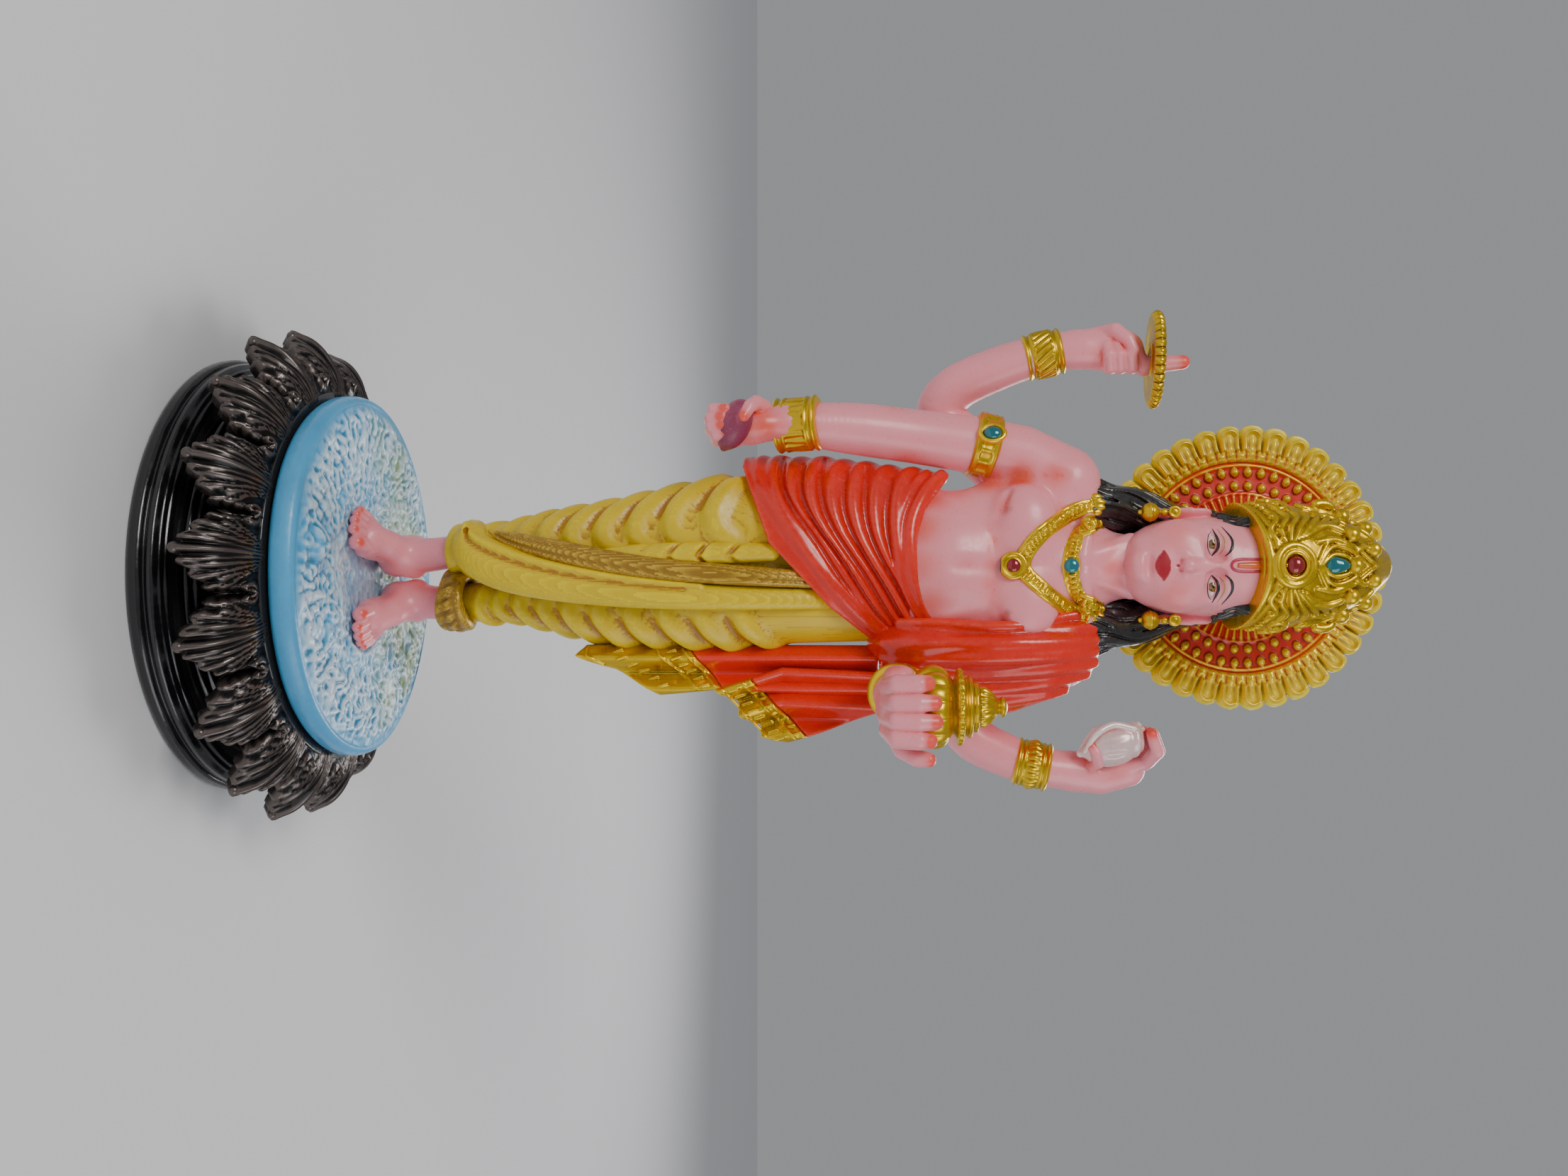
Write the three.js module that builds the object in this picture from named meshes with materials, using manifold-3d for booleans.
// A standing four-armed Hindu deity statuette on a round plinth.
// Millimetres, +Z up. The origin is the centre of the plinth's underside; the figure faces -Y.
// "Left" and "right" are the figure's own, so its right side is at -X.

import * as THREE from 'three';
import { mergeVertices } from 'three/addons/utils/BufferGeometryUtils.js';
import Module from 'manifold-3d';

const wasm = await Module();
wasm.setup();

// ---------------------------------------------------------------- driving dimensions

const GAP = 0.3; // clearance left all round wherever two castings meet
const PIN_CLEARANCE = 0.15; // radial clearance of the ankle pins in their holes
const SLIVER = 0.12; // detail smaller than this is left out of the castings

const FOOT_RADIUS = 49; // plinth foot, at the table
const FOOT_HEIGHT = 7;
const FOOT_STEP = 3; // height of each moulding step round the foot
const FOOT_INSET = 3; // how far each step is set in from the one below
const DRUM_RADIUS = 38; // plain drum above the foot, at its top
const DRUM_WAIST = 35; // the drum's narrowest radius
const DRUM_HEIGHT = 16.4;
const LEAF_COUNT = 18;
const LEAF_REACH = 55.5; // radius of the leaf tips
const LEAF_NOTCH = 8; // how far the collar is cut in between two leaves
const LEAF_DROP = 11; // how far the leaf tips hang below the collar's upper edge
const LEAF_THICKNESS = 3.2;
const PAD_RADIUS = 41; // water pad, at its upper edge
const PAD_TAPER = 3; // how much smaller the pad is at its underside
const PAD_HEIGHT = 5.7;

const SOLE_LENGTH = 22; // heel to toes
const SOLE_WIDTH = 9.4;
const ANKLE_RADIUS = 5;
const HEM_HEIGHT = 18.4; // soles to the lower edge of the dhoti
const LEG_HEIGHT = 103.6; // dhoti hem to the waist
const TORSO_HEIGHT = 41; // waist to the root of the neck
const TORSO_HALF_WIDTH = 19.6;
const TORSO_HALF_DEPTH = 12.3;
const NECK_RADIUS = 7;
const NECK_HEIGHT = 6; // root of the neck to the chin
const HEAD_HALF_WIDTH = 11;
const HEAD_HALF_DEPTH = 12.4;
const HEAD_HEIGHT = 36; // chin to the top of the skull
const CROWN_LIFT = 26; // chin to the lower edge of the crown
const CROWN_RADIUS = 15;
const CROWN_HEIGHT = 31;
const SASH_THICKNESS = 2.6;

const UPPER_ARM_RADIUS = 6.4;
const WRIST_RADIUS = 4.5;
const REAR_WRIST_RADIUS = 4.3;
const BANGLE_THICKNESS = 1.4;
const BANGLE_WIDTH = 9.5;
const ARMLET_WIDTH = 6;
const FINGER_RADIUS = 1.55;

const HALO_RADIUS = 33; // over the rim petals
const HALO_BAND = 8.5; // width of the petal rim
const HALO_THICKNESS = 3.6;
const HALO_PETALS = 36;
const CHAKRA_RADIUS = 10.5;
const CHAKRA_THICKNESS = 2.8;
const POT_RADIUS = 7.5;
const POT_HEIGHT = 20;
const CONCH_RADIUS = 5;
const CONCH_LENGTH = 13.5;
const PENDANT_RADIUS = 2.9;
const RUBY_RADIUS = 2;
const PIN_RADIUS = 1.5; // steel pins from the feet into the plinth
const PIN_LENGTH = 16;

// ---------------------------------------------------------------- levels and axes

const drumBase = FOOT_HEIGHT + GAP;
const padBase = drumBase + DRUM_HEIGHT + GAP;
const figureBase = padBase + PAD_HEIGHT + GAP; // the soles; the figure's own z = 0

const hemZ = HEM_HEIGHT;
const waistZ = hemZ + LEG_HEIGHT;
const neckZ = waistZ + TORSO_HEIGHT;
const chinZ = neckZ + NECK_HEIGHT;
const crownZ = chinZ + CROWN_LIFT;
const shoulderZ = neckZ - 6;

const BODY_X = -1.8; // the head, neck and breastbone stand a little to the figure's right
const BODY_Y = -6; // the body's middle, forward of the plinth's axis
const SHOULDER_X = 19; // shoulder joints, from the breastbone

// ---------------------------------------------------------------- solid helpers

/** Welds a closed geometry into a solid, dropping triangles that have no area. */
function solid(geometry) {
  for (const name of Object.keys(geometry.attributes)) {
    if (name !== 'position') geometry.deleteAttribute(name);
  }
  const welded = mergeVertices(geometry, 1e-4);
  const index = welded.index.array;
  const kept = [];
  for (let i = 0; i < index.length; i += 3) {
    const [a, b, c] = [index[i], index[i + 1], index[i + 2]];
    if (a !== b && b !== c && c !== a) kept.push(a, b, c);
  }
  const vertProperties = Float32Array.from(welded.attributes.position.array);
  return new wasm.Manifold(new wasm.Mesh({ numProp: 3, vertProperties, triVerts: Uint32Array.from(kept) }));
}

/** The largest separate body of a solid. */
function mainBody(shape) {
  const bodies = shape.decompose();
  return bodies.reduce((best, body) => (body.volume() > best.volume() ? body : best));
}

/** A closed skin over rings of points that run anticlockwise seen from the last ring. */
function skin(rings) {
  const sides = rings[0].length;
  const points = rings.flat();
  const centre = (ring) => ring.reduce((sum, p) => sum.add(p), new THREE.Vector3()).divideScalar(sides);
  const first = points.push(centre(rings[0])) - 1;
  const last = points.push(centre(rings[rings.length - 1])) - 1;
  const index = [];
  const top = (rings.length - 1) * sides;
  for (let s = 0; s < sides; s++) {
    const next = (s + 1) % sides;
    index.push(first, next, s, last, top + s, top + next);
    for (let r = 0; r < top; r += sides) {
      index.push(r + s, r + next, r + sides + next, r + s, r + sides + next, r + sides + s);
    }
  }
  const geometry = new THREE.BufferGeometry();
  const places = points.flatMap((p) => p.toArray());
  geometry.setAttribute('position', new THREE.Float32BufferAttribute(places, 3));
  geometry.setIndex(index);
  return solid(geometry);
}

/** One oval ring about a centre, with half axes along u and v. */
function oval(centre, u, v, ru, rv, sides) {
  return Array.from({ length: sides }, (_, s) => {
    const angle = (2 * Math.PI * s) / sides;
    return centre.clone().addScaledVector(u, ru * Math.cos(angle)).addScaledVector(v, rv * Math.sin(angle));
  });
}

const AXIS_X = new THREE.Vector3(1, 0, 0);
const AXIS_Y = new THREE.Vector3(0, 1, 0);

/** An upright body through level oval stations [z, x, y, half width, half depth]. */
function column(stations, sides, grow = 0) {
  const last = stations.length - 1;
  return skin(stations.map(([z, x, y, rx, ry], i) => {
    const level = z + (i === 0 ? -grow : 0) + (i === last ? grow : 0);
    return oval(new THREE.Vector3(x, y, level), AXIS_X, AXIS_Y, rx + grow, ry + grow, sides);
  }));
}

/** Where the front of such a body lies, at a height and a sideways place. */
function frontOf(stations, x, z) {
  let i = 0;
  while (i < stations.length - 2 && stations[i + 1][0] < z) i++;
  const [low, high] = [stations[i], stations[i + 1]];
  const t = THREE.MathUtils.clamp((z - low[0]) / (high[0] - low[0]), 0, 1);
  const [cx, cy, rx, ry] = [1, 2, 3, 4].map((k) => low[k] + t * (high[k] - low[k]));
  const across = THREE.MathUtils.clamp((x - cx) / rx, -0.98, 0.98);
  return cy - ry * Math.sqrt(1 - across * across);
}

/** A limb with rounded ends along stations [x, y, z, radius, flatness], in the order given. */
function limb(stations, sides, grow = 0) {
  const path = new THREE.CatmullRomCurve3(stations.map(([x, y, z]) => new THREE.Vector3(x, y, z)));
  const last = stations.length - 1;
  const rings = [];
  const across = new THREE.Vector3();
  const side = new THREE.Vector3();
  const addRing = (i, along, share) => {
    const tangent = path.getTangent(i / last);
    side.copy(Math.abs(tangent.x) > 0.9 ? AXIS_Y : AXIS_X);
    across.crossVectors(tangent, side).normalize();
    side.crossVectors(across, tangent).normalize();
    const [x, y, z, radius, flatness = 1] = stations[i];
    const centre = new THREE.Vector3(x, y, z).addScaledVector(tangent, along * (radius + grow));
    const [ru, rv] = [radius + grow, radius * flatness + grow];
    rings.push(oval(centre, side, across, ru * share, rv * share, sides));
  };
  addRing(0, -0.75, 0.62);
  for (let i = 0; i <= last; i++) addRing(i, 0, 1);
  addRing(last, 0.75, 0.62);
  return skin(rings);
}

/** A turned body from [radius, height] pairs, which start and end on the axis. */
function turned(profile, segments) {
  const geometry = new THREE.LatheGeometry(profile.map(([r, z]) => new THREE.Vector2(r, z)), segments);
  geometry.rotateX(Math.PI / 2);
  return solid(geometry);
}

/** A plain round bar along Z between two heights. */
function bar(x, y, low, high, radius, segments = 16) {
  return turned([[0, low], [radius, low], [radius, high], [0, high]], segments).translate([x, y, 0]);
}

/** A flattened ball with half axes [a, b, c]. */
function ball(centre, axes, grow = 0) {
  const geometry = new THREE.SphereGeometry(1, 8, 5);
  geometry.scale(...axes.map((a) => a + grow));
  return solid(geometry).translate(centre);
}

const join = (...shapes) => shapes.reduce((sum, shape) => sum.add(shape));
const cut = (shape, ...tools) => tools.reduce((rest, tool) => rest.subtract(tool), shape);

// ---------------------------------------------------------------- materials

const finish = (color, roughness, metalness = 0) => (
  new THREE.MeshStandardMaterial({ color, roughness, metalness })
);
const BLACK_PAINT = () => finish(0x14110f, 0.25);
const BRONZE_PAINT = () => finish(0x3a3230, 0.4, 0.5);
const WATER_PAINT = () => finish(0x58a9d6, 0.6);
const SKIN = () => finish(0xe9a0b4, 0.4);
const YELLOW_PAINT = () => finish(0xe6c811, 0.45);
const OCHRE_PAINT = () => finish(0x8c6a12, 0.5);
const RED_PAINT = () => finish(0xe8341c, 0.35);
const GOLD_PAINT = () => finish(0xb98a1a, 0.35, 0.8);
const HAIR_PAINT = () => finish(0x120f12, 0.25);
const PEARL = () => finish(0xf0dfe0, 0.25);
const MAUVE_PAINT = () => finish(0x94304f, 0.5);
const RUBY = () => finish(0xa8102a, 0.1);
const TEAL = () => finish(0x1d8fa0, 0.1);
const STEEL = () => finish(0x9a9da0, 0.3, 0.9);

const statue = new THREE.Group();
const plinth = new THREE.Group();
const figure = new THREE.Group();
figure.position.z = figureBase;
statue.add(plinth, figure);

/** Adds a solid to a group as a named mesh, without the slivers and crumbs that cutting leaves. */
function place(group, name, shape, material) {
  const { vertProperties, triVerts, numProp } = mainBody(shape.simplify(SLIVER)).getMesh();
  const geometry = new THREE.BufferGeometry();
  const points = new THREE.InterleavedBuffer(vertProperties, numProp);
  geometry.setAttribute('position', new THREE.InterleavedBufferAttribute(points, 3, 0));
  geometry.setIndex(new THREE.BufferAttribute(triVerts, 1));
  const mesh = new THREE.Mesh(geometry, material);
  mesh.name = name;
  group.add(mesh);
}

// ---------------------------------------------------------------- the feet and their pins

const STANCE = {
  right: { x: -4.4, turn: -0.16, y: 1 },
  left: { x: 5.9, turn: 0.14, y: 3 },
};
const TOE_Z = 2.2; // middle height of the toes
const HEEL_Z = 3.6;

/** A shank and a foot pointing forward, turned out about the ankle and flat underneath. */
function footForm(side, grow = 0) {
  const { x, turn, y } = STANCE[side];
  const half = SOLE_WIDTH / 2;
  const shank = limb([
    [0, 1.5, 5, ANKLE_RADIUS],
    [0, 0, hemZ - 6, ANKLE_RADIUS - 0.5],
    [0, -1, hemZ + 3, ANKLE_RADIUS - 0.4],
  ], 10, grow);
  const sole = limb([
    [0, 3.5, HEEL_Z, half * 0.85, 0.95],
    [0, -3, HEEL_Z + 0.6, half * 0.95, 1.05],
    [0, -SOLE_LENGTH * 0.42, TOE_Z + 0.6, half, 0.7],
    [0, 3.5 - SOLE_LENGTH + half, TOE_Z, half, 0.48],
  ], 10, grow);
  const ground = bar(0, 0, -20, -grow, 40);
  return cut(join(shank, sole), ground).rotate([0, 0, (turn * 180) / Math.PI]).translate([x, y, 0]);
}

const pinFrom = HEEL_Z + 4; // the pins end this far up inside the feet
const pinForm = (side, grow) => {
  const { x, y } = STANCE[side];
  return bar(x, y + 1.5, pinFrom - PIN_LENGTH - grow, pinFrom + grow, PIN_RADIUS + grow);
};
const pinHoles = join(pinForm('right', PIN_CLEARANCE), pinForm('left', PIN_CLEARANCE))
  .translate([0, 0, figureBase]);

// ---------------------------------------------------------------- the plinth

place(plinth, 'plinth_foot', turned([
  [0, 0],
  [FOOT_RADIUS, 0],
  [FOOT_RADIUS, FOOT_STEP],
  [FOOT_RADIUS - FOOT_INSET, FOOT_STEP],
  [FOOT_RADIUS - FOOT_INSET, FOOT_STEP * 1.7],
  [FOOT_RADIUS - FOOT_INSET * 2, FOOT_HEIGHT],
  [0, FOOT_HEIGHT],
], 40), BLACK_PAINT());

const drumShape = turned([
  [0, drumBase],
  [FOOT_RADIUS - FOOT_INSET * 2.4, drumBase],
  [DRUM_WAIST, drumBase + DRUM_HEIGHT * 0.4],
  [DRUM_WAIST, drumBase + DRUM_HEIGHT * 0.8],
  [DRUM_RADIUS, drumBase + DRUM_HEIGHT],
  [0, drumBase + DRUM_HEIGHT],
], 40);
place(plinth, 'plinth_drum', cut(drumShape, pinHoles), BLACK_PAINT());

/** The ring of acanthus leaves: a flared skirt whose lower edge is notched between the leaves. */
function leafCollar() {
  const steps = LEAF_COUNT * 3;
  const topZ = drumBase + DRUM_HEIGHT;
  const section = (angle) => {
    const swell = Math.abs(Math.cos((LEAF_COUNT * angle) / 2)); // 1 on a leaf's spine, 0 between leaves
    const tip = LEAF_REACH - LEAF_NOTCH * (1 - swell);
    const drop = LEAF_DROP * (0.45 + 0.55 * swell);
    const inner = DRUM_RADIUS + GAP;
    const middle = (inner + tip) / 2 + 1;
    return [
      [inner, topZ],
      [middle, topZ - drop * 0.3],
      [tip, topZ - drop + LEAF_THICKNESS * 0.5],
      [tip - 0.6, topZ - drop - LEAF_THICKNESS * 0.4],
      [middle - 1, topZ - drop * 0.5 - LEAF_THICKNESS],
      [inner, topZ - LEAF_THICKNESS - 3],
    ].map(([r, z]) => new THREE.Vector3(r * Math.cos(angle), r * Math.sin(angle), z));
  };
  const points = [];
  const index = [];
  const around = section(0).length;
  for (let s = 0; s < steps; s++) {
    points.push(...section((2 * Math.PI * s) / steps));
    for (let k = 0; k < around; k++) {
      const [a, b] = [s * around + k, s * around + ((k + 1) % around)];
      const [c, d] = [a, b].map((n) => (n + around) % (steps * around));
      index.push(a, b, d, a, d, c);
    }
  }
  const geometry = new THREE.BufferGeometry();
  const places = points.flatMap((p) => p.toArray());
  geometry.setAttribute('position', new THREE.Float32BufferAttribute(places, 3));
  geometry.setIndex(index);
  return solid(geometry);
}
place(plinth, 'leaf_collar', cut(leafCollar(), bar(0, 0, padBase - GAP, padBase + 30, 90)), BRONZE_PAINT());

const padShape = turned([
  [0, padBase],
  [PAD_RADIUS - PAD_TAPER, padBase],
  [PAD_RADIUS, padBase + PAD_HEIGHT * 0.8],
  [PAD_RADIUS - 1.2, padBase + PAD_HEIGHT],
  [0, padBase + PAD_HEIGHT],
], 40);
place(plinth, 'water_pad', cut(padShape, pinHoles), WATER_PAINT());

// ---------------------------------------------------------------- the dhoti

const legAt = (share) => hemZ + share * LEG_HEIGHT;
const RIGHT_LEG = [
  [legAt(0), -3.8, -1, 6.4, 6.2],
  [legAt(0.05), -5, -2, 7.2, 7.2],
  [legAt(0.12), -4.8, -2.5, 6.4, 7.2],
  [legAt(0.24), -6.2, -3.5, 8, 8.4],
  [legAt(0.39), -7.3, -4.5, 9.6, 9.8],
  [legAt(0.53), -8.6, -5.2, 11.2, 10.6],
  [legAt(0.66), -9.3, -5.6, 13, 11.2],
];
const LEFT_LEG = [
  [legAt(0), 6, 0, 4.6, 5.6],
  [legAt(0.05), 6.6, -0.5, 5.4, 6.2],
  [legAt(0.15), 6.2, -1.5, 4.7, 6.6],
  [legAt(0.3), 7.6, -3, 6.2, 8.2],
  [legAt(0.41), 9, -4, 7.6, 9.4],
  [legAt(0.53), 9, -4.8, 7.7, 10.4],
  [legAt(0.66), 8.4, -5.4, 8.2, 11],
];
const HIPS = [
  [legAt(0.58), -3.4, -5.6, 17.6, 10.6],
  [legAt(0.68), -3.6, -5.8, 19.2, 11.8],
  [legAt(0.8), -3.6, -6, 19.6, 12.4],
  [legAt(1) - GAP, -2.6, -6, 17.8, 12],
];
const dhotiForm = (grow = 0) => join(
  column(RIGHT_LEG, 14, grow),
  column(LEFT_LEG, 14, grow),
  column(HIPS, 18, grow),
);
const feetForm = (grow) => join(footForm('right', grow), footForm('left', grow));
place(figure, 'dhoti', cut(dhotiForm(), feetForm(GAP)), YELLOW_PAINT());

for (const side of ['right', 'left']) {
  const other = side === 'right' ? [footForm('left', GAP)] : [];
  place(figure, `${side}_foot`, cut(footForm(side), pinForm(side, PIN_CLEARANCE), ...other), SKIN());
  place(figure, `${side}_ankle_pin`, pinForm(side, 0), STEEL());
}

/** Height of the sash's two edges at a sideways place: it climbs to the figure's left. */
const sashLow = (x) => legAt(0.655) + 0.026 * Math.max(0, x + 24) ** 1.92;
const sashHigh = (x) => waistZ + 2.4 + 0.0195 * (x + 3) ** 2;
const SASH_SPINE = [-3, -6, 21, 12]; // x, y, half width and half depth of the hips inside the sash

/** The cloth wound round the hips, over the dhoti and the root of the torso. */
function sashForm(grow = 0) {
  const [cx, cy, rx, ry] = SASH_SPINE;
  const levels = 4;
  const rings = Array.from({ length: levels + 1 }, (_, i) => {
    const t = i / levels;
    const swell = SASH_THICKNESS * (0.55 + 0.6 * Math.sin(Math.PI * Math.min(1, t * 1.1 + 0.15))) + grow;
    const centre = new THREE.Vector3(cx + 1.2 * t, cy, 0);
    const ring = oval(centre, AXIS_X, AXIS_Y, rx + swell - 2.2 * t * t, ry + swell - 0.6 * t * t, 22);
    for (const p of ring) {
      const [low, high] = [sashLow(p.x) - grow, sashHigh(p.x) + grow];
      p.z = low + t * (high - low);
    }
    return ring;
  });
  return skin(rings);
}

// ---------------------------------------------------------------- the torso, neck and head

const torsoAt = (share) => waistZ + share * TORSO_HEIGHT;
const TORSO = [
  [torsoAt(0), BODY_X + 0.2, BODY_Y, TORSO_HALF_WIDTH - 2.4, TORSO_HALF_DEPTH - 0.6],
  [torsoAt(0.2), BODY_X, BODY_Y, TORSO_HALF_WIDTH - 0.8, TORSO_HALF_DEPTH + 0.2],
  [torsoAt(0.5), BODY_X, BODY_Y, TORSO_HALF_WIDTH, TORSO_HALF_DEPTH],
  [torsoAt(0.72), BODY_X, BODY_Y, TORSO_HALF_WIDTH + 0.2, TORSO_HALF_DEPTH - 0.6],
  [torsoAt(0.87), BODY_X, BODY_Y + 0.4, TORSO_HALF_WIDTH - 2.4, TORSO_HALF_DEPTH - 2.8],
  [torsoAt(0.97), BODY_X, BODY_Y + 1, TORSO_HALF_WIDTH - 8.6, TORSO_HALF_DEPTH - 4.6],
  [torsoAt(1.02), BODY_X, BODY_Y + 1, NECK_RADIUS + 1, NECK_RADIUS + 0.4],
];
const torsoForm = (grow = 0) => column(TORSO, 18, grow);

const NECK = [
  [neckZ - 7, BODY_X, BODY_Y + 1, NECK_RADIUS - 0.6, NECK_RADIUS - 1],
  [neckZ, BODY_X, BODY_Y + 1, NECK_RADIUS, NECK_RADIUS - 0.4],
  [chinZ + 6, BODY_X, BODY_Y + 1.4, NECK_RADIUS - 0.2, NECK_RADIUS],
];
const headAt = (share) => chinZ + share * HEAD_HEIGHT;
const SKULL = [
  [headAt(-0.02), 0.3, -3.4, 0.25],
  [headAt(0.06), 0.52, -2.4, 0.55],
  [headAt(0.2), 0.82, -0.6, 0.84],
  [headAt(0.42), 1, 0, 1],
  [headAt(0.65), 1, 0.2, 1.03],
  [headAt(0.85), 0.85, 0.3, 0.88],
  [headAt(0.97), 0.48, 0.3, 0.5],
].map(([z, wide, forward, deep]) => [
  z, BODY_X, BODY_Y + forward, HEAD_HALF_WIDTH * wide, HEAD_HALF_DEPTH * deep,
]);
const EAR_HALF = [1.5, 2.4, 4.6]; // half width, depth and height of an ear
const EAR_PROUD = 0.9; // how far an ear's middle stands off the side of the head
const EAR_BACK = 1.5;
const ear = (sign, grow) => {
  const earX = BODY_X + sign * (HEAD_HALF_WIDTH + EAR_PROUD);
  return ball([earX, BODY_Y + EAR_BACK, headAt(0.34)], EAR_HALF, grow);
};
const headForm = (grow = 0) => (
  join(column(SKULL, 16, grow), column(NECK, 14, grow), ear(-1, grow), ear(1, grow))
);

// ---------------------------------------------------------------- the arms

const shoulder = (sign) => [BODY_X + sign * SHOULDER_X, BODY_Y, shoulderZ];
const from = ([x, y, z], stations) => (
  stations.map(([dx, dy, dz, ...rest]) => [x + dx, y + dy, z + dz, ...rest])
);

const ARMS = {
  front_right: from(shoulder(-1), [
    [0.4, 0.6, -1, UPPER_ARM_RADIUS + 1.4],
    [-5, 0.6, -10, UPPER_ARM_RADIUS + 0.4],
    [-7.6, 0, -20, UPPER_ARM_RADIUS - 0.2],
    [-9.4, -1.6, -33, UPPER_ARM_RADIUS - 0.6],
    [-10.8, -4.4, -46, WRIST_RADIUS + 1],
    [-11.4, -7.4, -56.5, WRIST_RADIUS + 0.1],
    [-11.5, -8.4, -61, WRIST_RADIUS],
  ]),
  front_left: from(shoulder(1), [
    [0.8, 0.6, -2, UPPER_ARM_RADIUS + 1],
    [5.4, 1.2, -14, UPPER_ARM_RADIUS],
    [8.4, 0.6, -27, UPPER_ARM_RADIUS - 0.8],
    [8.2, -6, -34, UPPER_ARM_RADIUS - 1.2],
    [7.4, -12, -36.8, WRIST_RADIUS + 0.2],
    [7.6, -16.5, -38, WRIST_RADIUS - 0.1],
  ]),
  rear_right: from(shoulder(-1), [
    [4, 7, -6, UPPER_ARM_RADIUS],
    [-5, 9, -16, UPPER_ARM_RADIUS - 0.2],
    [-14, 9, -27.5, UPPER_ARM_RADIUS - 0.6],
    [-20.5, 8, -26, UPPER_ARM_RADIUS - 1.2],
    [-25.4, 7, -15, REAR_WRIST_RADIUS + 0.6],
    [-28.6, 6, -4, REAR_WRIST_RADIUS + 0.1],
    [-29.2, 5.4, 1.5, REAR_WRIST_RADIUS],
  ]),
  rear_left: from(shoulder(1), [
    [-4, 7, -6, UPPER_ARM_RADIUS],
    [5, 9, -14, UPPER_ARM_RADIUS - 0.2],
    [14, 9.4, -22.5, UPPER_ARM_RADIUS - 0.6],
    [19.6, 8.6, -20, UPPER_ARM_RADIUS - 1.2],
    [23.6, 7.4, -12, REAR_WRIST_RADIUS + 0.5],
    [25.8, 6.4, -4.5, REAR_WRIST_RADIUS + 0.1],
    [26.6, 5.8, 0.5, REAR_WRIST_RADIUS],
  ]),
};
const armForm = (name, grow = 0) => limb(ARMS[name], 10, grow);

/** Where a limb is, a share of the way along its last span of stations, and which way it runs. */
function along(stations, back) {
  const path = new THREE.CatmullRomCurve3(stations.map(([x, y, z]) => new THREE.Vector3(x, y, z)));
  const t = 1 - back / path.getLength();
  return { point: path.getPointAt(t), direction: path.getTangentAt(t) };
}

/** A band round a limb: a barrel along the limb's own direction. */
function band(stations, back, width, radius, grow = 0) {
  const { point, direction } = along(stations, back);
  const half = width / 2 + grow;
  const edge = radius - BANGLE_THICKNESS * 0.35 + grow;
  const barrel = turned([[0, -half], [edge, -half], [radius + grow, -half * 0.3],
    [radius + grow, half * 0.3], [edge, half], [0, half]], 14);
  const turn = new THREE.Quaternion().setFromUnitVectors(new THREE.Vector3(0, 0, 1), direction);
  const matrix = new THREE.Matrix4().makeRotationFromQuaternion(turn).setPosition(point);
  return barrel.transform(matrix.toArray());
}

/** Middle of each bangle, back from the end of its arm. */
const BANGLE_BACK = { front_right: 2.4, front_left: 2.4, rear_right: 6, rear_left: 7.5 };
const wristRadius = (name) => (name.startsWith('rear') ? REAR_WRIST_RADIUS : WRIST_RADIUS);
const bangleForm = (name, grow = 0) => (
  band(ARMS[name], BANGLE_BACK[name], BANGLE_WIDTH, wristRadius(name) + GAP + BANGLE_THICKNESS, grow)
);
const ARMLET_BACK = 44; // middle of the armlet, back from the end of the arm
const ARMLET_PROUD = 1.2;
const armletForm = (grow = 0) => (
  band(ARMS.front_right, ARMLET_BACK, ARMLET_WIDTH, UPPER_ARM_RADIUS + GAP + ARMLET_PROUD, grow)
);

// ---------------------------------------------------------------- the hands and what they hold

const hand = (name) => {
  const [x, y, z] = ARMS[name][ARMS[name].length - 1];
  return [x, y, z];
};
const finger = (points, grow, radius = FINGER_RADIUS) => (
  limb(points.map(([x, y, z], i) => [x, y, z, radius - 0.12 * i]), 6, grow)
);
const FINGER_PITCH = FINGER_RADIUS * 2 + 0.2; // sideways step from one finger to the next

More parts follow.
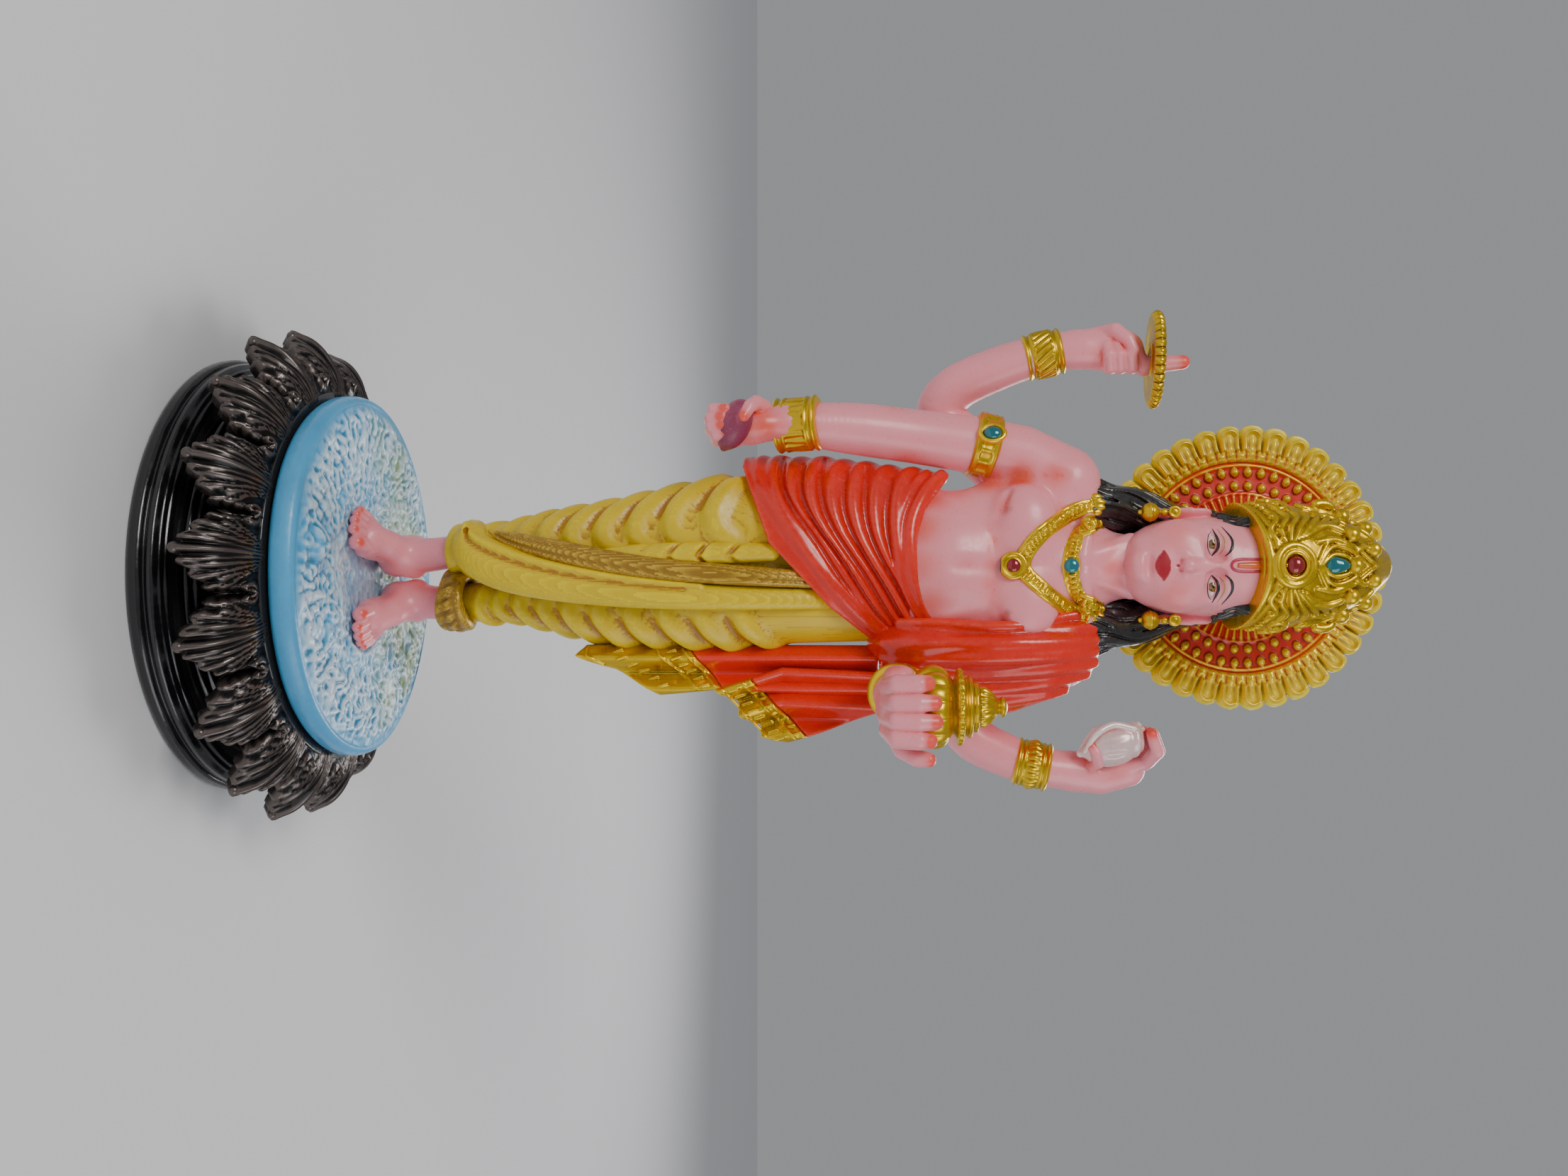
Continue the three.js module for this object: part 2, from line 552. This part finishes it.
const HANDS = {
  /** Hanging, with the palm forward and the fingers curled under what it holds. */
  front_right: (grow = 0) => {
    const at = (stations) => from(hand('front_right'), stations);
    const palm = limb(at([
      [0, -0.4, -3.5, WRIST_RADIUS - 0.3, 0.9],
      [0.1, 0, -9, WRIST_RADIUS + 0.6, 0.62],
      [0.2, -0.4, -14.5, WRIST_RADIUS + 0.4, 0.55],
    ]), 8, grow);
    const fingers = [-1.5, -0.5, 0.5, 1.5].map((n) => finger(at([
      [n * FINGER_PITCH * 0.86 + 0.2, -1, -16],
      [n * FINGER_PITCH * 0.86 + 0.4, -4.2, -18.6],
      [n * FINGER_PITCH * 0.86 + 0.6, -7.6, -17.6],
    ]), grow));
    const thumb = finger(at([[4, -1.5, -6], [5, -4.6, -9.5], [4.2, -7, -12]]), grow, FINGER_RADIUS + 0.15);
    return join(palm, ...fingers, thumb);
  },
  /** Reaching forward with the palm up, and the fingers folded up in front of the pot. */
  front_left: (grow = 0) => {
    const at = (stations) => from(hand('front_left'), stations);
    const palm = limb(at([
      [0, -3, -0.2, WRIST_RADIUS - 0.4, 0.85],
      [1.2, -9, -0.6, WRIST_RADIUS + 1.4, 0.55],
      [2.4, -14.5, -0.4, WRIST_RADIUS + 1.5, 0.5],
    ]), 8, grow);
    const fingers = [-1.5, -0.5, 0.5, 1.5].map((n) => finger(at([
      [2.6 + n * FINGER_PITCH * 0.95, -15.5, -0.6],
      [2.8 + n * FINGER_PITCH * 0.95, -19, 0.8],
      [2.8 + n * FINGER_PITCH * 0.95, -19.6, 4.4],
      [2.6 + n * FINGER_PITCH * 0.9, -18.4, 7.4],
    ]), grow));
    const thumb = finger(at([[6, -8, 0], [10.2, -11, 2.8], [11.4, -14.5, 6]]), grow, FINGER_RADIUS + 0.35);
    return join(palm, ...fingers, thumb);
  },
  /** Raised and closed, with the first finger pointing up through the discus. */
  rear_right: (grow = 0) => {
    const at = (stations) => from(hand('rear_right'), stations);
    const palm = limb(at([
      [0, -0.4, 3, REAR_WRIST_RADIUS - 0.2, 0.95],
      [-0.4, -0.6, 7.5, REAR_WRIST_RADIUS + 0.9, 0.8],
      [0, -0.6, 11.4, REAR_WRIST_RADIUS + 0.5, 0.8],
    ]), 8, grow);
    const folded = [0.2, 1.2, 2.2].map((n) => finger(at([
      [3.2, -1 - n * 0.6, 13.2 - n * FINGER_PITCH],
      [4.6, -4.4, 12.4 - n * FINGER_PITCH],
      [1.8, -5.6, 11.6 - n * FINGER_PITCH],
    ]), grow));
    const pointing = at([[2.2, -2, 9], [2.6, -2.2, 16], [2.6, -2.4, 21.6]]);
    const pointer = finger(pointing, grow, FINGER_RADIUS + 0.75);
    return join(palm, ...folded, pointer);
  },
  /** Raised, with the palm and fingers curved round the conch. */
  rear_left: (grow = 0) => {
    const at = (stations) => from(hand('rear_left'), stations);
    const palm = limb(at([
      [0, -0.2, 3, REAR_WRIST_RADIUS - 0.2, 0.95],
      [0.2, -0.2, 8, REAR_WRIST_RADIUS + 0.2, 0.85],
      [-1, -0.4, 12.4, REAR_WRIST_RADIUS + 0.2, 0.8],
    ]), 8, grow);
    const fingers = limb(at([
      [-1.4, -0.6, 13, FINGER_RADIUS, 2.6],
      [-4.4, -1.6, 16.2, FINGER_RADIUS, 2.5],
      [-8, -2.4, 15.6, FINGER_RADIUS - 0.2, 2.2],
    ]), 10, grow);
    return join(palm, fingers);
  },
};

const HOLD = { // where each held thing sits, from the end of its arm
  pot: [1.6, -10.8, 1.4],
  bud: [0.6, -5.6, -11],
  discus: [2.6, -2.3, 17.6],
  conch: [-6.4, -2.6, 9.4],
};
const held = (name, thing) => hand(name).map((value, k) => value + HOLD[thing][k]);

/** The lidded nectar pot: a round body, a rim, and a stepped lid with a bud on top. */
function potForm(grow = 0) {
  const h = POT_HEIGHT;
  const r = POT_RADIUS;
  const profile = [
    [r * 0.4, 0], [r * 0.84, h * 0.12], [r, h * 0.3], [r * 0.82, h * 0.5], [r * 0.93, h * 0.56],
    [r * 0.7, h * 0.66], [r * 0.52, h * 0.8], [r * 0.24, h * 0.88], [r * 0.2, h * 0.97],
  ].map(([radius, z]) => [radius + grow, z]);
  const foot = [[0, -grow], [profile[0][0], -grow]];
  const closed = [...foot, ...profile.slice(1), [r * 0.1, h + grow], [0, h + grow]];
  return turned(closed, 20).translate(held('front_left', 'pot'));
}

/** The lotus bud lying in the front right palm. */
const budForm = (grow = 0) => {
  const [x, y, z] = held('front_right', 'bud');
  return limb([
    [x - 2.6, y + 0.4, z - 1, 2, 1],
    [x, y, z, 3.3, 1],
    [x + 2.6, y - 0.4, z + 1, 1.8, 1],
  ], 12, grow);
};

const DISCUS_TILT = 6; // degrees, front edge down
/** The discus: a thick-rimmed wheel with a collar where the finger passes through. */
function discusForm() {
  const half = CHAKRA_THICKNESS / 2;
  const wheel = turned([
    [0, -half * 0.5], [CHAKRA_RADIUS * 0.72, -half * 0.5], [CHAKRA_RADIUS * 0.78, -half],
    [CHAKRA_RADIUS, -half * 0.5], [CHAKRA_RADIUS, half * 0.5], [CHAKRA_RADIUS * 0.78, half],
    [CHAKRA_RADIUS * 0.72, half * 0.5], [FINGER_RADIUS + 2.2, half * 0.5], [FINGER_RADIUS + 2, half * 1.9],
    [0, half * 1.9],
  ], 28);
  return wheel.rotate([DISCUS_TILT, 0, 0]).translate(held('rear_right', 'discus'));
}

/** The conch: a swollen shell that narrows to a spout below and a spire above. */
function conchForm(grow = 0) {
  const [x, y, z] = held('rear_left', 'conch');
  const h = CONCH_LENGTH;
  const r = CONCH_RADIUS;
  return limb([
    [x + 3, y + 1, z - h * 0.46, r * 0.3],
    [x + 1.2, y, z - h * 0.2, r * 0.8],
    [x, y, z + h * 0.08, r],
    [x - 0.4, y, z + h * 0.3, r * 0.7],
    [x - 0.4, y, z + h * 0.46, r * 0.25],
  ], 14, grow);
}

// ---------------------------------------------------------------- cloth over the shoulder

const shawlAt = (share) => waistZ - 8 + share * (TORSO_HEIGHT + 8);
const SHAWL = [
  [shawlAt(0), 20.6, BODY_Y, 8.2, 12],
  [shawlAt(0.2), 21.4, BODY_Y, 9.2, 13.4],
  [shawlAt(0.55), 21, BODY_Y, 9.8, 13.8],
  [shawlAt(0.8), 18.4, BODY_Y, 9.6, 12.8],
  [shawlAt(0.93), 14.6, BODY_Y + 0.4, 7.8, 10.4],
  [shawlAt(1), 11.6, BODY_Y + 1, 4.6, 7],
];
const shawlForm = (grow = 0) => column(SHAWL, 16, grow);

const TAIL_Y = BODY_Y - 1;
const TAILS = {
  inner: [
    [legAt(0.54), 21.2, TAIL_Y, 4.4, 3.2],
    [legAt(0.7), 20.8, TAIL_Y, 5, 3.6],
    [legAt(0.93), 22.4, TAIL_Y, 5, 4],
    [legAt(1.02), 23.4, TAIL_Y, 5, 4.4],
  ],
  inner_border: [
    [legAt(0.3), 17.4, TAIL_Y, 0.9, 1.2],
    [legAt(0.37), 19, TAIL_Y, 2.8, 2.4],
    [legAt(0.48), 21, TAIL_Y, 4.6, 3.2],
    [legAt(0.54) - GAP, 21.4, TAIL_Y, 4.6, 3.4],
  ],
  outer: [
    [legAt(0.76), 30.6, TAIL_Y - 1, 3.6, 3],
    [legAt(0.86), 30, TAIL_Y - 1, 4.4, 3.6],
    [legAt(0.96), 29, TAIL_Y - 1, 4.6, 4],
  ],
  outer_border: [
    [legAt(0.6), 27.4, TAIL_Y - 1, 1.6, 1.6],
    [legAt(0.66), 30.4, TAIL_Y - 1, 4.4, 2.8],
    [legAt(0.74), 32, TAIL_Y - 1, 4.6, 3],
    [legAt(0.76) - GAP, 31.4, TAIL_Y - 1, 4.2, 3],
  ],
};
const tailForm = (name, grow = 0) => column(TAILS[name], 16, grow);

// ---------------------------------------------------------------- figure castings, cut to fit each other

const torso = cut(torsoForm(), column(NECK, 14, GAP));
place(figure, 'torso', torso, SKIN());

const body = (grow) => join(torsoForm(grow), column(NECK, 14, grow));
const frontArms = (grow) => join(armForm('front_right', grow), armForm('front_left', grow));
const bodyAndArms = join(body(GAP), frontArms(GAP));

for (const name of ['front_right', 'front_left']) {
  place(figure, `${name}_arm`, cut(armForm(name), body(GAP)), SKIN());
}
for (const name of ['rear_right', 'rear_left']) {
  place(figure, `${name}_arm`, cut(armForm(name), bodyAndArms, conchForm(GAP)), SKIN());
}

place(figure, 'hip_sash', cut(
  sashForm(), dhotiForm(GAP), torsoForm(GAP), frontArms(GAP), HANDS.front_right(GAP),
  bangleForm('front_right', GAP),
), RED_PAINT());

const rearArms = (grow) => join(armForm('rear_right', grow), armForm('rear_left', grow));
place(figure, 'shoulder_shawl', cut(
  shawlForm(), bodyAndArms, rearArms(GAP), sashForm(GAP), bangleForm('front_left', GAP), dhotiForm(GAP),
), RED_PAINT());

const underTails = join(
  dhotiForm(GAP), sashForm(GAP), shawlForm(GAP), frontArms(GAP), HANDS.front_left(GAP),
  bangleForm('front_left', GAP),
);
const tailOver = {
  inner: [],
  inner_border: ['inner'],
  outer: ['inner', 'inner_border'],
  outer_border: ['inner', 'inner_border', 'outer'],
};
for (const [name, over] of Object.entries(tailOver)) {
  const colour = name.endsWith('border') ? GOLD_PAINT() : RED_PAINT();
  const tools = over.map((neighbour) => tailForm(neighbour, GAP));
  place(figure, `shawl_tail_${name}`, cut(tailForm(name), underTails, ...tools), colour);
}

// ---------------------------------------------------------------- dhoti pleats laid on the legs

/** A path down the front of the dhoti, from [share of the leg, x, radius, stand-off]. */
function frontPath(stations) {
  return stations.map(([share, x, radius, proud]) => {
    const z = legAt(share);
    const surfaces = [RIGHT_LEG, LEFT_LEG, HIPS].map((form) => (
      z >= form[0][0] && z <= form[form.length - 1][0] ? frontOf(form, x, z) : 0
    ));
    return [x, Math.min(...surfaces) - proud, z, radius];
  });
}
const ROLL = frontPath([
  [0.74, 4.6, 2, 0.6],
  [0.55, 4, 2.3, 0.8],
  [0.38, 3.2, 2.7, 0.8],
  [0.22, 1.2, 3.6, 0.6],
  [0.13, -2.4, 4.6, 0],
  [0.075, -6.6, 4.8, -0.6],
]);
const BORDER = frontPath([
  [0.72, 0.8, 1.5, 0.5],
  [0.55, 0.2, 1.6, 0.6],
  [0.38, -1, 1.7, 0.6],
  [0.24, -3.2, 1.8, 0.6],
  [0.13, -7.4, 1.9, 0.5],
]);
const PLEAT = frontPath([
  [0.68, -4.4, 2.3, 0.1],
  [0.52, -4, 2.5, 0.2],
  [0.38, -4.2, 2, 0.3],
  [0.28, -5, 1.2, 0.4],
]);
const onDhoti = join(dhotiForm(GAP), sashForm(GAP), feetForm(GAP));
place(figure, 'dhoti_front_roll', cut(limb(ROLL, 10), onDhoti), YELLOW_PAINT());
place(figure, 'dhoti_border_strip', cut(limb(BORDER, 8), onDhoti, limb(ROLL, 10, GAP)), OCHRE_PAINT());
place(figure, 'dhoti_side_pleat', cut(
  limb(PLEAT, 10), onDhoti, limb(ROLL, 10, GAP), limb(BORDER, 8, GAP),
), YELLOW_PAINT());

const CUFF_WIDTH = 6.5;
const CUFF_THICKNESS = 1.6;
const cuffForm = column([
  [hemZ - 1.5, 6.2, -0.2, 5 + CUFF_THICKNESS * 0.6, 6 + CUFF_THICKNESS * 0.6],
  [hemZ - 1.5 + CUFF_WIDTH * 0.4, 6.4, -0.6, 5.3 + CUFF_THICKNESS, 6.2 + CUFF_THICKNESS],
  [hemZ - 1.5 + CUFF_WIDTH, 6.3, -1, 4.8 + CUFF_THICKNESS * 0.5, 6.4 + CUFF_THICKNESS * 0.5],
], 14);
place(figure, 'left_ankle_cuff', cut(cuffForm, onDhoti, limb(ROLL, 10, GAP)), OCHRE_PAINT());

// ---------------------------------------------------------------- hair, crown, gems and halo

const HAIR_BACK = [
  [neckZ - 10, BODY_X, BODY_Y + 9, 12, 5],
  [neckZ, BODY_X, BODY_Y + 8, 14.6, 6.6],
  [headAt(0.2), BODY_X, BODY_Y + 7, 14.4, 8],
  [headAt(0.5), BODY_X, BODY_Y + 5, 14, 10],
  [headAt(0.74), BODY_X, BODY_Y + 3.6, 13.6, 11],
];
const LOCK_RADIUS = 4;
const lock = (sign, grow) => limb([
  [BODY_X + sign * 12.2, BODY_Y + 1, headAt(0.62), LOCK_RADIUS * 0.8],
  [BODY_X + sign * 14.4, BODY_Y + 2.4, headAt(0.3), LOCK_RADIUS * 0.9],
  [BODY_X + sign * 13.8, BODY_Y - 0.4, headAt(0), LOCK_RADIUS],
  [BODY_X + sign * 16.6, BODY_Y - 0.8, neckZ + 1.4, LOCK_RADIUS],
], 12, grow);
const hairForm = (grow = 0) => join(column(HAIR_BACK, 16, grow), lock(-1, grow), lock(1, grow));
const underHair = join(headForm(GAP), bodyAndArms, shawlForm(GAP), rearArms(GAP));
place(figure, 'hair', cut(hairForm(), underHair), HAIR_PAINT());

const crownAt = (share) => crownZ + share * CROWN_HEIGHT;
const CROWN_Y = BODY_Y + 1;
const CROWN = [
  [crownAt(-0.1), BODY_X, CROWN_Y, CROWN_RADIUS - 0.6, CROWN_RADIUS - 0.4],
  [crownAt(0.08), BODY_X, CROWN_Y, CROWN_RADIUS, CROWN_RADIUS],
  [crownAt(0.32), BODY_X, CROWN_Y, CROWN_RADIUS * 0.86, CROWN_RADIUS * 0.86],
  [crownAt(0.4), BODY_X, CROWN_Y, CROWN_RADIUS * 0.86, CROWN_RADIUS * 0.84],
  [crownAt(0.62), BODY_X, CROWN_Y, CROWN_RADIUS * 0.74, CROWN_RADIUS * 0.72],
  [crownAt(0.8), BODY_X, CROWN_Y, CROWN_RADIUS * 0.56, CROWN_RADIUS * 0.56],
  [crownAt(0.93), BODY_X, CROWN_Y, CROWN_RADIUS * 0.3, CROWN_RADIUS * 0.3],
  [crownAt(1), BODY_X, CROWN_Y, CROWN_RADIUS * 0.12, CROWN_RADIUS * 0.12],
];
const GEM_PROUD = 0.5; // how far a stone's middle stands out of the crown
const GEM_HALF_DEPTH = 1.4;
const crownGem = (share, tall, grow) => {
  const z = crownAt(share);
  const seat = frontOf(CROWN, BODY_X, z) - GEM_PROUD;
  return ball([BODY_X, seat, z], [RUBY_RADIUS, GEM_HALF_DEPTH, RUBY_RADIUS * tall], grow);
};
const rubyForm = (grow) => crownGem(0.2, 1, grow);
const dropForm = (grow) => crownGem(0.5, 1.3, grow);
const crownSolid = cut(column(CROWN, 20), headForm(GAP), hairForm(GAP), rubyForm(GAP), dropForm(GAP));
// The stones of a tight crown reach into the head.
place(figure, 'head', cut(headForm(), rubyForm(GAP), dropForm(GAP)), SKIN());
place(figure, 'crown', crownSolid, GOLD_PAINT());
place(figure, 'crown_ruby', rubyForm(0), RUBY());
place(figure, 'crown_teardrop', dropForm(0), TEAL());

const haloZ = crownAt(0.15);
const haloY = Math.max(BODY_Y + HEAD_HALF_DEPTH * 1.03 + 0.2, CROWN_Y + CROWN_RADIUS, BODY_Y + 15) + GAP;
/** A standing disc: turned about Z, then tipped so its face looks forward. */
const standing = (shape) => shape.rotate([90, 0, 0]).translate([BODY_X, haloY + HALO_THICKNESS / 2, haloZ]);
const half = HALO_THICKNESS / 2;
const haloInner = HALO_RADIUS - HALO_BAND;
place(figure, 'halo_disc', standing(turned([
  [0, -half], [haloInner - GAP, -half], [haloInner - GAP, half * 0.6], [haloInner - 6, half], [0, half],
], 40)), RED_PAINT());

/** The rim: a flat band with a scalloped outer edge, one petal to each scallop. */
function haloRim() {
  const outline = new THREE.Shape();
  const steps = HALO_PETALS * 2;
  for (let s = 0; s < steps; s++) {
    const angle = (2 * Math.PI * s) / steps;
    const petal = Math.abs(Math.sin((HALO_PETALS * angle) / 2));
    const radius = HALO_RADIUS - 1.1 * (1 - petal);
    const point = [radius * Math.cos(angle), radius * Math.sin(angle)];
    if (s === 0) outline.moveTo(...point);
    else outline.lineTo(...point);
  }
  const hole = new THREE.Path().absarc(0, 0, haloInner, 0, 2 * Math.PI, true);
  outline.holes.push(hole);
  const plate = new THREE.ExtrudeGeometry(outline, {
    depth: HALO_THICKNESS,
    bevelEnabled: false,
    curveSegments: 18,
  });
  return solid(plate).translate([0, 0, -half]);
}
place(figure, 'halo_petal_rim', cut(
  standing(haloRim()), hairForm(GAP), bodyAndArms, rearArms(GAP), shawlForm(GAP),
), YELLOW_PAINT());

// ---------------------------------------------------------------- earrings and necklaces

const EARRING_RADIUS = 2;
const earringForm = (sign, grow = 0) => {
  const [x, y] = [BODY_X + sign * (HEAD_HALF_WIDTH + 0.6), BODY_Y - 3.2];
  const dropZ = headAt(0.13);
  return join(
    ball([x, y, dropZ], [EARRING_RADIUS, EARRING_RADIUS, EARRING_RADIUS], grow),
    bar(x, y, dropZ, dropZ + EARRING_RADIUS * 2.4, 0.7 + grow, 8),
    ball([x, y, dropZ + EARRING_RADIUS * 2.6], [1.3, 1.3, 1.3], grow),
  );
};
for (const [side, sign] of [['right', -1], ['left', 1]]) {
  place(figure, `${side}_earring`, cut(earringForm(sign), headForm(GAP), hairForm(GAP)), GOLD_PAINT());
}

/** A strand hung on the chest between two points, sagging to a lowest point in front. */
function strand(halfWidth, topZ, lowZ, sharpness, radius, grow = 0) {
  const count = 8;
  const stations = Array.from({ length: count }, (_, i) => {
    const t = (2 * i) / (count - 1) - 1;
    const x = BODY_X + t * halfWidth;
    const z = lowZ + (topZ - lowZ) * Math.abs(t) ** sharpness;
    return [x, frontOf(TORSO, x, z) - radius * 0.35, z, radius];
  });
  return limb(stations, 7, grow);
}
const shortNecklace = (grow = 0) => strand(9, neckZ - 1.5, neckZ - 7.2, 2, 1.7, grow);
const longNecklace = (grow = 0) => strand(12.4, neckZ - 4, neckZ - 17, 1.25, 1.6, grow);

const pendantZ = neckZ - 19.4;
const pendantY = frontOf(TORSO, BODY_X, pendantZ);
const pendantForm = (grow = 0) => ball(
  [BODY_X, pendantY - 0.6, pendantZ], [PENDANT_RADIUS, 1.5, PENDANT_RADIUS * 1.15], grow,
);
const STONE_RADIUS = RUBY_RADIUS * 0.8; // the pendant's stone is a little smaller than the crown's
const pendantRuby = (grow = 0) => (
  ball([BODY_X, pendantY - 2.1, pendantZ], [STONE_RADIUS, 0.9, STONE_RADIUS], grow)
);
const neckGem = (grow = 0) => {
  const z = neckZ - 7.6;
  return ball([BODY_X, frontOf(TORSO, BODY_X, z) - 2.3, z], [1.5, 1, 1.5], grow);
};

const bothEarrings = join(earringForm(-1, GAP), earringForm(1, GAP));
const underNecklace = join(bodyAndArms, shawlForm(GAP), hairForm(GAP), bothEarrings);
place(figure, 'short_necklace', cut(shortNecklace(), underNecklace, neckGem(GAP)), GOLD_PAINT());
place(figure, 'short_necklace_gem', neckGem(), TEAL());
const longWithPendant = join(longNecklace(), pendantForm());
place(figure, 'long_necklace', cut(
  longWithPendant, underNecklace, shortNecklace(GAP), neckGem(GAP), pendantRuby(GAP),
), GOLD_PAINT());
place(figure, 'pendant_ruby', pendantRuby(), RUBY());

// ---------------------------------------------------------------- bangles, armlet and hands

const bangleTools = {
  front_right: [],
  front_left: [shawlForm(GAP), sashForm(GAP)],
  rear_right: [],
  rear_left: [],
};
for (const [name, tools] of Object.entries(bangleTools)) {
  const inside = join(armForm(name, GAP), HANDS[name](GAP));
  place(figure, `${name}_bangle`, cut(bangleForm(name), inside, ...tools), GOLD_PAINT());
}

const gemSeat = along(ARMS.front_right, ARMLET_BACK).point;
const armletGem = (grow) => ball(
  [gemSeat.x - 2.2, gemSeat.y - UPPER_ARM_RADIUS - 1.2, gemSeat.z + 1], [1.3, 1, 1.9], grow,
);
place(figure, 'armlet', cut(
  armletForm(), armForm('front_right', GAP), body(GAP), armForm('rear_right', GAP), armletGem(GAP),
), GOLD_PAINT());
place(figure, 'armlet_gem', armletGem(0), TEAL());

const inHand = {
  front_right: [budForm(GAP)],
  front_left: [potForm(GAP)],
  rear_right: [],
  rear_left: [conchForm(GAP)],
};
for (const [name, tools] of Object.entries(inHand)) {
  place(figure, `${name}_hand`, cut(HANDS[name](), armForm(name, GAP), ...tools), SKIN());
}
place(figure, 'lotus_bud', budForm(), MAUVE_PAINT());
place(figure, 'nectar_pot', potForm(), GOLD_PAINT());
place(figure, 'discus', cut(discusForm(), HANDS.rear_right(GAP)), GOLD_PAINT());
place(figure, 'conch', conchForm(), PEARL());

export default statue;
